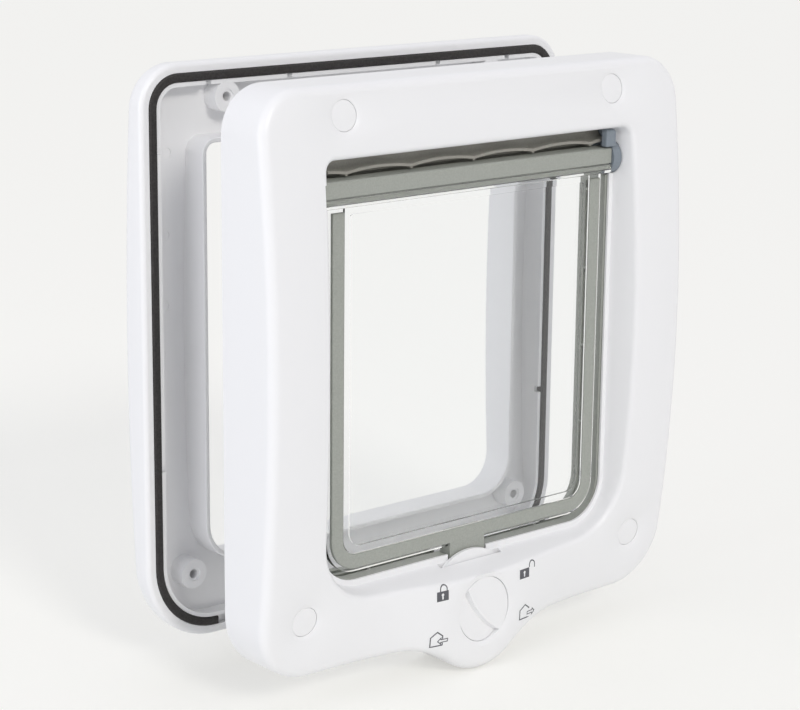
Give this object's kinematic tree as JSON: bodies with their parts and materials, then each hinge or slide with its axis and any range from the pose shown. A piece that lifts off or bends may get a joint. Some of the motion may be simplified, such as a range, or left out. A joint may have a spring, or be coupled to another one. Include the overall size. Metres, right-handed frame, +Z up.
{
  "type": "cat flap",
  "caption": "Locking cat flap in two halves for a door: domed inner frame with a clear swinging flap and a rotary lock, and an outer frame with a gasket.",
  "frame": {"origin": "centre of the tunnel in the plane where the inner frame meets the door", "axes": "+X along the flap's hinge, to the right seen from the room; +Y out of the house, through the door; +Z up"},
  "size_m": [0.22, 0.0922, 0.2431],
  "materials": {
    "white_shell": "satin",
    "clear_pane": "polished clear",
    "grey_trim": "fine texture",
    "slate_plastic": "satin",
    "dark_seal": "matte",
    "foam": "foam",
    "magnet": "nickel plated",
    "steel": "zinc plated"
  },
  "bodies": {
    "frame": {"inner_frame": "white_shell", "seal_ring": "grey_trim", "top_seal": "dark_seal", "draught_strip": "dark_seal", "sill_magnet": "magnet", "bearing_block": "slate_plastic", "lock_cover": "white_shell", "cover_screw_left": "steel", "cover_screw_right": "steel", "screw_cap_top_left": "white_shell", "screw_cap_top_right": "white_shell", "screw_cap_bottom_left": "white_shell", "screw_cap_bottom_right": "white_shell", "outer_frame": "white_shell", "gasket": "foam"},
    "flap": {"flap_pane": "clear_pane", "flap_strip": "grey_trim", "flap_magnet": "magnet", "hinge_bar": "grey_trim", "hinge_pin_left": "steel", "hinge_pin_right": "steel"},
    "dial": {"lock_dial": "white_shell", "front_cam": "white_shell", "rear_cam": "white_shell", "dial_washer": "steel", "dial_screw": "steel"}
  },
  "joints": [
    {"name": "flap_hinge", "type": "hinge", "parent": "frame", "child": "flap", "pos_m": [0, -0.0148, 0.0698], "axis": [1, 0, 0], "range_deg": [0, 85]},
    {"name": "dial_turn", "type": "hinge", "parent": "frame", "child": "dial", "pos_m": [0, -0.02, -0.1047], "axis": [0, 1, 0], "continuous": true}
  ]
}
